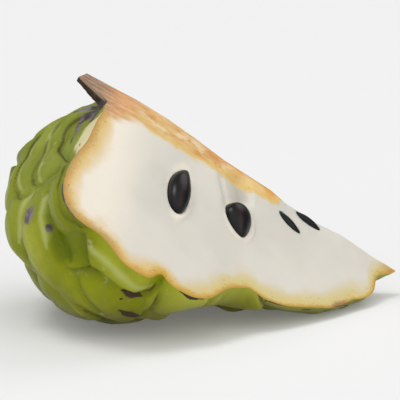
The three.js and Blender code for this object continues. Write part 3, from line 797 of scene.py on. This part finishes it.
def waxy_skin():
    """Ripe skin: a smooth rind with a thin dull wax, brown hairlines in the seams and a few grey bruises.
    It is yellow-green on the crowns of its knobs, a painted highlight, and olive between them, painted shade."""
    material, tree, shader = new_material("custard_apple_waxy_skin")
    lobe, seam, lip_sheen, cream, scar, hollow_shade, stalk_to_tip = (
        add(tree, "ShaderNodeAttribute", output="Fac", attribute_name=name)
        for name in ("lobe", "seam", "lip_sheen", "cream", "scar", "hollow_shade", "place"))
    place = add(tree, "ShaderNodeTexCoord", output="Object")
    above_floor = add(tree, "ShaderNodeSeparateXYZ", {"Vector": place}, output="Z")
    broad, mottle, grain, olive = patterns(
        tree, (22, 3, 0.5), (5, 4, 0.6), (0.8, 2, 0.5), (12, 2, 0.5, (1, 1, 1.6), 0))
    height = ragged(tree, lobe, (broad, 6))
    green = layered(
        tree, "#6b7303",
        # Lighter towards the crowns of the knobs: painted highlight on the crowns, painted shade between
        # them.
        ("#868b08", (height, -2.2, 0.8)),
        ("#a4a72a", (height, 0.6, 2.8)),
        # Greyer, paler green towards the stalk: painted sheen.
        ("#84914a", (stalk_to_tip, 0.3, 0.1, 0, 0.55)),
        ("#66760c", (mottle, 0.35, 0.75, 0, 0.35)),
        ("#687102", (olive, 0.5, 0.68, 0, 0.3)),
        # Darker green in the hollows: painted shade.
        ("#566600", (hollow_shade, 0, 0.9, 0, 0.85)),
        # Lighter, yellower green on the tip half: painted light.
        ("#b4b646", (stalk_to_tip, 0.43, 0.5, 0, 0.75)),
        ("#dfe258", (stalk_to_tip, 0.6, 0.75, 0, 0.45)),
        # Darker towards the floor: painted shade under the fruit.
        ("#504b02", (above_floor, 3 * MM, 20 * MM, 0.7, 0)))
    # Painted sheen on the lips, painted shade and brown hairlines in the seams, the corky band by the stalk,
    # and healed scars.
    grey = layered(tree, "#473c41", ("#80757d", (mottle, 0.4, 0.62)))
    brown = layered(tree, "#1c1012", ("#3c2722", (mottle, 0.4, 0.62)))
    healed = layered(tree, grey, (brown, (stalk_to_tip, 0.25, 0.35)))
    colour = layered(
        tree, green,
        ("#b9bd7c", (ragged(tree, lip_sheen, (mottle, 1)), 0, 1.3, 0, 0.6)),
        ("#5a6208", (ragged(tree, seam, (mottle, 1)), 2.2, 0.2, 0, 0.3)),
        ("#47401f", (ragged(tree, seam, (mottle, 0.8)), 0.5, 0.1), (broad, 0.3, 0.6, 0.45, 0.9)),
        ("#ddd2a6", (ragged(tree, cream, (mottle, 1)), 0.1, 0.45, 0, 0.9)),
        (healed, (ragged(tree, scar, (mottle, 0.8), (grain, 0.5)), 0.2, 0.55, 0, 0.95)))
    relief = ragged(tree, mottle, (grain, 0.12))
    bump = add(tree, "ShaderNodeBump", {"Height": relief, "Distance": 0.3 * MM, "Strength": 0.5})
    tree.links.new(colour, shader.inputs["Base Color"])
    tree.links.new(stepped(tree, (mottle, 0.3, 0.7, 0.34, 0.46)), shader.inputs["Roughness"])
    tree.links.new(bump, shader.inputs["Normal"])
    shader.inputs["IOR"].default_value = 1.42
    shader.inputs["Specular IOR Level"].default_value = 0.18
    return material


def cut_flesh():
    """Raw flesh and core, cut with a knife: soft, moist and a little see-through. It is cream white,
    yellower towards the skin, browned by the air at the rim, and coarse and orange-brown in the core."""
    material, tree, shader = new_material("custard_apple_cut_flesh")
    along, out, from_rim, from_core, from_seed, sunk = (
        add(tree, "ShaderNodeAttribute", output="Fac", attribute_name=name)
        for name in ("along", "out", "from_rim", "from_core", "from_seed", "sunk"))
    broad, mottle, grain, patchy, speck = patterns(
        tree, (20, 2, 0.5), (4, 4, 0.6), (0.7, 3, 0.5), (13, 2, 0.5), (0.9, 2, 0.5))
    fibre, strand, blotch = patterns(
        tree, (0.9, 4, 0.6, (7, 1, 1), AXIS_PITCH), (2.4, 3, 0.55, (4, 1, 1), AXIS_PITCH),
        (3.4, 3, 0.6, (1.8, 1, 1), AXIS_PITCH))
    # The browned rim is narrower towards the tip. Both its bands have a ragged inner edge.
    tip_side = stepped(tree, (along, 15, 55))
    worn = ragged(tree, from_rim, (mottle, 2.4), (grain, 1))
    yellow_reach = stepped(tree, (tip_side, 0, 1, 6.5, 6), (patchy, 0.35, 0.65, 0.65, 1.2))
    tan_reach = stepped(tree, (tip_side, 0, 1, 3.2, 1.7))
    in_yellow = add(tree, "ShaderNodeMath", {0: worn, 1: yellow_reach}, operation="DIVIDE")
    in_tan = add(tree, "ShaderNodeMath", {0: worn, 1: tan_reach}, operation="DIVIDE")
    yellow = layered(tree, "#d2b268", ("#ccba78", (tip_side, 0, 1)))
    tan = layered(tree, "#ab8c4c", ("#bd8c42", (blotch, 0.42, 0.62)), ("#c09634", (along, 5, 16)))
    # The core frays into the flesh, is golden towards the tip and runs into wood at the stalk.
    edge = ragged(tree, from_core, (strand, 4), (fibre, 1.6), (mottle, 3))
    sharper = stepped(tree, (along, 2, 16, 2.4, 1))
    edge = add(tree, "ShaderNodeMath", {0: edge, 1: sharper}, operation="DIVIDE")
    golden = layered(tree, "#d8a24a", ("#dbb970", (blotch, 0.4, 0.6)))
    pinkish = layered(tree, "#bb8358", ("#d6a47b", (fibre, 0.4, 0.62)))
    wood = layered(tree, "#7d6453", ("#ad8f75", (fibre, 0.35, 0.65)))
    core = layered(
        tree, "#ca9150",
        ("#d4b27a", (strand, 0.4, 0.6)),
        ("#ddcba3", (blotch, 0.46, 0.6, 0, 0.75)),
        ("#c07a3c", (fibre, 0.55, 0.7, 0, 0.6)),
        (golden, (along, 34, 52, 0, 0.7)),
        ("#d6b871", (edge, -2.6, -0.6, 0, 0.85)),
        ("#c98842", (ragged(tree, out, (strand, 2)), 0.6, 1.9, 0.7, 0)),
        (pinkish, (along, -1, 15, 0.8, 0)),
        (wood, (along, -8, 2, 1, 0)))
    # Flesh, yellow and tan rim, stain and specks, core, painted shade in the sunken hollows, clean rings
    # round seeds.
    colour = layered(
        tree, "#cac6bb",
        ("#d2cdc2", (broad, 0.35, 0.65)),
        ("#ebe2d2", (along, 0, 18, 0.75, 0)),
        (yellow, (in_yellow, 0.2, 1.2, 0.95, 0)),
        (tan, (in_tan, 0.1, 1, 0.9, 0)),
        ("#8a6a34", (from_rim, 0.15, 0.8, 0.35, 0)),
        ("#8a5c40", (along, 84, 86.5), (along, 91.5, 89.5), (worn, 0.3, 2.2, 0.7, 0)),
        ("#b78a3c", (along, 101, 108, 0, 0.7)),
        ("#8c5a2c", (speck, 0.62, 0.7, 0, 0.5), (from_rim, 1.5, 4.5, 1, 0)),
        (core, (edge, -0.9, 1.2, 1, 0)),
        # Greyer where the cut face sinks below the flat cut: painted shade.
        ("#9c9688", (sunk, 0.35, 1.6, 0, 0.7), (edge, -0.9, 1.2)),
        ("#efe6d2", (ragged(tree, from_seed, (mottle, 2.4)), -0.2, 1.7, 0.55, 0)))
    fringe = stepped(tree, (edge, -0.9, 1.2, 1, 0))
    core_fibre = add(tree, "ShaderNodeMath", {0: fibre, 1: fringe}, operation="MULTIPLY")
    relief = ragged(tree, 0, (mottle, 0.7), (grain, 0.3), (core_fibre, 1.6))
    bump = add(tree, "ShaderNodeBump", {"Height": relief, "Distance": 0.3 * MM, "Strength": 0.5})
    tree.links.new(colour, shader.inputs["Base Color"])
    tree.links.new(stepped(tree, (fringe, 0, 1, 0.38, 0.6)), shader.inputs["Roughness"])
    tree.links.new(bump, shader.inputs["Normal"])
    shader.inputs["IOR"].default_value = 1.38
    shader.inputs["Subsurface Weight"].default_value = 0.3
    shader.inputs["Subsurface Radius"].default_value = (0.0032, 0.0024, 0.0014)
    shader.inputs["Subsurface Scale"].default_value = 1
    return material


skin_material = waxy_skin()
flesh_material = cut_flesh()
fruit = make_object("custard_apple_wedge", bm, [skin_material, flesh_material])

sockets = bmesh.new()
for name in SEEDS:
    socket = seed_bmesh(name, SOCKET_GAP, SOCKET_SEGMENTS)
    lay_seed(name, socket)
    held = bpy.data.meshes.new("socket")
    socket.to_mesh(held)
    socket.free()
    sockets.from_mesh(held)
for face in sockets.faces:
    face.material_index = 1
bmesh.ops.recalc_face_normals(sockets, faces=sockets.faces)
cutter = make_object("sockets", sockets, [skin_material, flesh_material])
cut = fruit.modifiers.new("sockets", "BOOLEAN")
cut.operation = "DIFFERENCE"
cut.solver = "EXACT"
cut.object = cutter
cut_mesh = bpy.data.meshes.new_from_object(fruit.evaluated_get(bpy.context.evaluated_depsgraph_get()))
fruit.modifiers.clear()
fruit.data = cut_mesh
bpy.data.objects.remove(cutter)

# Outer edge of the core: distance along the axis, distance out from the axis.
CORE_EDGE = [(-14, 9), (SEAT_A, 9.2), (-1.4, 11), (0.7, 11), (3.8, 8.7), (7.6, 7.2), (12.4, 7.8),
             (16.7, 7.8), (21, 7.1), (26, 7.4), (29.5, 7.5), (33.4, 6.7), (37.9, 6.4), (41.2, 5.9),
             (44.7, 6), (49, 6.2), (53.7, 6.3), (58.4, 5.6), (61.5, 3.5), (64.5, -1.5), (FRUIT_LENGTH, -6)]


FAR_FROM_SEEDS, FAR_FROM_RIM = 50, 30
RIM_POINTS = 400


def add_flesh_values(mesh):
    """Gives every point its place along the fruit and its distances from the rim and the core, in mm."""
    points = np.empty(len(mesh.vertices) * 3)
    mesh.vertices.foreach_get("co", points)
    points = to_fruit(points.reshape(-1, 3))
    along, out = points[:, 0], np.hypot(points[:, 1], points[:, 2])
    near_side = points[:, 1] < 0
    near_rim = at(rim_outline, np.linspace(0, 1, RIM_POINTS))
    values = dict(along=along, out=out, from_rim=np.empty_like(along),
                  from_core=out - np.interp(along, *np.array(CORE_EDGE).T),
                  sunk=(-np.abs(points[:, 1]) - points[:, 2]) * math.sqrt(0.5),
                  from_seed=np.full_like(along, FAR_FROM_SEEDS))
    for face, seed_along, seed_out, turn, lift, roll, size in SEEDS.values():
        if roll == 0:
            x, y = face_local(along, out, seed_along, seed_out, turn)
            gap = (np.hypot(x / size[0], y / size[1]) * 2 - 1) * size[1] / 2
            gap[near_side != (face == 1)] = FAR_FROM_SEEDS
            values["from_seed"] = np.minimum(values["from_seed"], gap)
    for side, rim in ((near_side, near_rim), (~near_side, far_rim_outline)):
        spots = np.stack([along[side], out[side]], -1)
        best = np.full(len(spots), 1e9)
        for start, end in zip(rim[:-1], rim[1:]):
            run = end - start
            t = np.clip(((spots - start) @ run) / max(run @ run, 1e-9), 0, 1)
            best = np.minimum(best, np.hypot(*(spots - start - t[:, None] * run).T))
        values["from_rim"][side] = best
    for name, value in values.items():
        mesh.attributes.new(name, "FLOAT", "POINT").data.foreach_set("value", value.astype(np.float32))


def sharpen(mesh, degrees):
    """Keeps the knife's edges crisp: between skin and flesh, and where flesh turns sharply."""
    bm = bmesh.new()
    bm.from_mesh(mesh)
    limit = math.radians(degrees)
    for edge in bm.edges:
        sides = {face.material_index for face in edge.link_faces}
        edge.smooth = len(sides) == 1 and (0 in sides or edge.calc_face_angle(0) < limit)
    bm.to_mesh(mesh)
    bm.free()


CUT_EDGE_DEGREES = 38
far_rim_outline = np.stack([far[:, -1, 0], np.hypot(far[:, -1, 1], far[:, -1, 2])], axis=-1)
add_flesh_values(fruit.data)
sharpen(fruit.data, CUT_EDGE_DEGREES)
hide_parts("fruit_wedge")
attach(fruit, "root")


# Stalk: the short woody stem that the fruit hung by, split by the same two cuts. Its bark is dark and
# wrinkled, and its cut faces run on into the core of the fruit.
STALK_END_A = -13.4
STALK_END_RADIUS = 3.8
STALK_END_SLANT = 0.7
STALK_END_DROP = 0.6
STALK_FLARE = 1.15
# The broken end is worn round: the last tenth of the stalk loses a twentieth of its radius.
WORN_FROM, WORN_SHARE = 0.9, 0.05
STALK_ROWS, STALK_FACE_COLUMNS, STALK_BARK_COLUMNS = 70, 22, 64
stalk_columns = STALK_FACE_COLUMNS * 2 + STALK_BARK_COLUMNS
SPLIT_EDGE_DEGREES = 40
CORE_REACH = 9
BARK_STEP = 0.14
# Wrinkles of the bark: waves along, waves round, seed, height. Then the splinters of the split faces.
WRINKLES = [(3.0, 9, 4.2, 0.32), (9.0, 16, 1.7, 0.14)]
SPLINTER_ALONG, SPLINTER_OUT, SPLINTER_SEED, SPLINTER_HEIGHT = 1.6, 1.3, 8.1, 0.16
# How fast the splinters rise from the ridge, from the bark and from the foot.
SPLINTER_FADES = (4, 5, 8)


def bark():
    """Dry bark of the stem: dark brown, wrinkled lengthwise, with paler corky patches."""
    material, tree, shader = new_material("custard_apple_stem_bark")
    from_face, along = (add(tree, "ShaderNodeAttribute", output="Fac", attribute_name=name)
                        for name in ("from_face", "along"))
    furrow, patch = patterns(tree, (0.9, 4, 0.6, (6, 1, 1), AXIS_PITCH), (3, 3, 0.5))
    colour = layered(
        tree, "#25150a",
        ("#4a2c15", (furrow, 0.35, 0.65)),
        ("#7a6652", (patch, 0.55, 0.78, 0, 0.4)),
        ("#9a8871", (from_face, 0.1, 0.5, 0.8, 0)),
        ("#5d5558", (along, -5, -3, 0, 0.8)))
    bump = add(tree, "ShaderNodeBump", {"Height": furrow, "Distance": 0.5 * MM, "Strength": 0.8})
    tree.links.new(colour, shader.inputs["Base Color"])
    tree.links.new(bump, shader.inputs["Normal"])
    shader.inputs["Roughness"].default_value = 0.75
    return material


def bark_point(radius, reach, share):
    """(down, across) on the wrinkled bark, from one cut edge (-1) to the other (1)."""
    angle = math.radians(share * CUT_HALF_ANGLE)
    wrinkles = 0
    for waves_along, waves_round, seed, height in WRINKLES:
        wrinkles += noise.noise(Vector((reach * waves_along, share * waves_round, seed))) * height
    out = float(flat_round(radius, share * CUT_HALF_ANGLE)) + wrinkles * (1 - share**4)
    return out * math.cos(angle), out * math.sin(angle)


def split_point(radius, reach, face, share):
    """(down, across) on a split face of the stalk, from its ridge (0) to its bark (1)."""
    out = radius * share
    down = across = out * math.sqrt(0.5)
    if out < RIDGE_ROUNDING:
        bend = math.radians(CUT_HALF_ANGLE) * out / RIDGE_ROUNDING
        down = RIDGE_ROUNDING * (math.sqrt(2) - math.cos(bend))
        across = RIDGE_ROUNDING * math.sin(bend)
    down += float(ridge_drop(np.array(SEAT_A), np.array(out))) * (1 - STALK_END_DROP * reach)
    splinter = noise.noise(Vector((reach * SPLINTER_ALONG, out * SPLINTER_OUT, SPLINTER_SEED + face)))
    at_ridge, at_bark, at_foot = SPLINTER_FADES
    fade = min(share * at_ridge, 1, (1 - share) * at_bark, reach * at_foot)
    splinter *= SPLINTER_HEIGHT * fade * math.sqrt(0.5)
    return down - splinter, (across + splinter) * face


def stalk_point(reach, column):
    """A point of the stalk, from its foot (0) to its broken end (1), and round from face to face."""
    radius = STALK_END_RADIUS + (SEAT_RADIUS - STALK_END_RADIUS) * (1 - reach) ** STALK_FLARE
    radius *= 1 - WORN_SHARE * max(reach - WORN_FROM, 0) / (1 - WORN_FROM)
    if column <= STALK_FACE_COLUMNS:
        down, across = split_point(radius, reach, -1, column / STALK_FACE_COLUMNS)
    elif column >= stalk_columns - STALK_FACE_COLUMNS:
        down, across = split_point(radius, reach, 1, (stalk_columns - column) / STALK_FACE_COLUMNS)
    else:
        down, across = bark_point(radius, reach, (column - STALK_FACE_COLUMNS) / STALK_BARK_COLUMNS * 2 - 1)
    along = SEAT_A + (STALK_END_A - SEAT_A) * reach
    along += STALK_END_SLANT * reach**2 * (STALK_END_RADIUS - (across + down) * math.sqrt(0.5))
    return Vector((along, -across, -down)), along


bm = bmesh.new()
bmesh.ops.create_grid(bm, x_segments=STALK_ROWS, y_segments=stalk_columns, size=1)
names = ("along", "out", "from_core", "from_rim", "from_seed", "from_face")
layers = {name: bm.verts.layers.float.new(name) for name in names}
for face in bm.faces:
    column = (face.calc_center_median().y + 1) / 2 * stalk_columns
    face.material_index = 0 if STALK_FACE_COLUMNS < column < stalk_columns - STALK_FACE_COLUMNS else 1
for vert in bm.verts:
    column = round((vert.co.y + 1) / 2 * stalk_columns)
    spot, along = stalk_point((vert.co.x + 1) / 2, column)
    out = math.hypot(spot.y, spot.z)
    from_face = min(column, stalk_columns - column) - STALK_FACE_COLUMNS
    values = (along, out, out - CORE_REACH, FAR_FROM_RIM, FAR_FROM_SEEDS, from_face * BARK_STEP)
    for name, value in zip(names, values):
        vert[layers[name]] = value
    vert.co = fruit_matrix @ spot
bmesh.ops.remove_doubles(bm, verts=bm.verts, dist=MERGE_REACH * MM)
ends = bmesh.ops.holes_fill(bm, edges=[edge for edge in bm.edges if edge.is_boundary], sides=0)
for face in ends["faces"]:
    face.material_index = 1
bmesh.ops.recalc_face_normals(bm, faces=bm.faces)
stalk = make_object("custard_apple_stalk", bm, [bark(), flesh_material])
sharpen(stalk.data, SPLIT_EDGE_DEGREES)
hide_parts("stalk")
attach(stalk, "root")


# Seeds: hard glossy seeds left in the cut flesh, black with a painted dark red reflection along the keel,
# each lying in the socket that it grew in.
def seed_coat():
    """Hard seed coat, polished by the flesh: nearly black, with a painted dark red reflection along the keel.
    """
    material, tree, shader = new_material("custard_apple_seed_coat")
    keel = add(tree, "ShaderNodeAttribute", output="Fac", attribute_name="keel")
    (mottle,) = patterns(tree, (2.5, 3, 0.5))
    # Share of the painted dark red reflection along the keel.
    red = add(tree, "ShaderNodeMath", {0: keel, 1: 0.55}, operation="MULTIPLY")
    black = layered(tree, "#030303", ("#090808", (mottle, 0.35, 0.7)))
    colour = add(tree, "ShaderNodeMix", {0: red, 6: black, 7: "#3a1517"}, output=2, data_type="RGBA")
    bump = add(tree, "ShaderNodeBump", {"Height": mottle, "Distance": 0.06 * MM, "Strength": 0.6})
    tree.links.new(colour, shader.inputs["Base Color"])
    tree.links.new(bump, shader.inputs["Normal"])
    shader.inputs["Roughness"].default_value = 0.3
    shader.inputs["IOR"].default_value = 1.45
    shader.inputs["Specular IOR Level"].default_value = 0.3
    return material


# Where the painted dark red reflection runs along a seed's keel, and how wide it is, in half widths.
KEEL_REFLECTION = {"seed_1": 0.28, "seed_2": -0.2}
USUAL_KEEL_REFLECTION, KEEL_REFLECTION_WIDTH = 0.1, 0.12
coat = seed_coat()
for name, (*_, (length, width, thickness)) in SEEDS.items():
    bm = seed_bmesh(name, 0, SEED_SEGMENTS)
    keel_reflection_layer = bm.verts.layers.float.new("keel")
    for vert in bm.verts:
        x, y = vert.co.x / length * 2, vert.co.y / width * 2
        vert[keel_reflection_layer] = hump(y - KEEL_REFLECTION.get(name, USUAL_KEEL_REFLECTION), KEEL_REFLECTION_WIDTH) * (1 - x**2)
    lay_seed(name, bm)
    bmesh.ops.recalc_face_normals(bm, faces=bm.faces)
    seed = make_object("custard_apple_" + name, bm, [coat])
    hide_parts(name)
    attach(seed, "root")


# Floor: a plain sheet, much wider than the view. It glows faintly so that it shows clean light grey: painted
# light that also lightens the shadow under the fruit.
FLOOR_SIZE = 20
bm = bmesh.new()
bmesh.ops.create_grid(bm, x_segments=1, y_segments=1, size=FLOOR_SIZE)
card, tree, shader = new_material("glowing_floor_card")
shader.inputs["Base Color"].default_value = srgb("#dcdcdc")
shader.inputs["Roughness"].default_value = 0.9
shader.inputs["Specular IOR Level"].default_value = 0.1
shader.inputs["Emission Color"].default_value = (1, 1, 1, 1)
shader.inputs["Emission Strength"].default_value = 0.112
floor = make_object("floor", bm, [card])

# Light: a sky that is brightest above and behind the camera, and three soft suns.
world = bpy.data.worlds.new("studio")
bpy.context.scene.world = world
world.use_nodes = True
SKY_DARK, SKY_BRIGHT = 0.25, 1.3
SKY_BRIGHTEST = Vector((-0.35, -0.75, 0.4)).normalized()
sky = world.node_tree
background = sky.nodes["Background"]
direction = add(sky, "ShaderNodeTexCoord", output="Generated")
towards = add(sky, "ShaderNodeVectorMath", {0: direction, 1: SKY_BRIGHTEST}, output="Value",
              operation="DOT_PRODUCT")
brightness = stepped(sky, (towards, -0.2, 1, SKY_DARK, SKY_BRIGHT))
sky.links.new(brightness, background.inputs["Strength"])
background.inputs["Color"].default_value = (1, 1, 1, 1)


def add_sun(name, energy, angle, direction):
    light = bpy.data.lights.new(name, "SUN")
    light.energy = energy
    light.angle = math.radians(angle)
    lamp = bpy.data.objects.new(name, light)
    lamp.rotation_euler = Vector(direction).to_track_quat("Z", "Y").to_euler()
    bpy.context.scene.collection.objects.link(lamp)


add_sun("key", 0.78, 20, (-0.35, 0.0, 0.93))
add_sun("fill", 0.25, 50, (0.5, -0.8, 0.3))
add_sun("rear", 0.5, 40, (0.6, 0.25, 0.75))

# Camera: a long lens, 44 cm from the stalk, looking a little down on the near cut face.
FOCAL_PIXELS, IMAGE_PIXELS = 1500, 400
SENSOR_WIDTH = 36
CAMERA_BACK = Vector((-0.3397, -0.9263, 0.1631))
CAMERA_FROM_FRUIT = Vector((-0.1285, -0.4202, 0.0405))
camera_data = bpy.data.cameras.new("camera")
camera_data.sensor_width = SENSOR_WIDTH
camera_data.lens = FOCAL_PIXELS * SENSOR_WIDTH / IMAGE_PIXELS
camera_data.clip_end = 60
camera = bpy.data.objects.new("camera", camera_data)
bpy.context.scene.collection.objects.link(camera)
back = CAMERA_BACK.normalized()
right = Vector((0, 0, 1)).cross(back).normalized()
turned = Matrix((right, back.cross(right), back)).transposed().to_4x4()
camera.matrix_world = Matrix.Translation(fruit_origin + CAMERA_FROM_FRUIT) @ turned
bpy.context.scene.camera = camera
bpy.context.scene.view_settings.view_transform = "Standard"
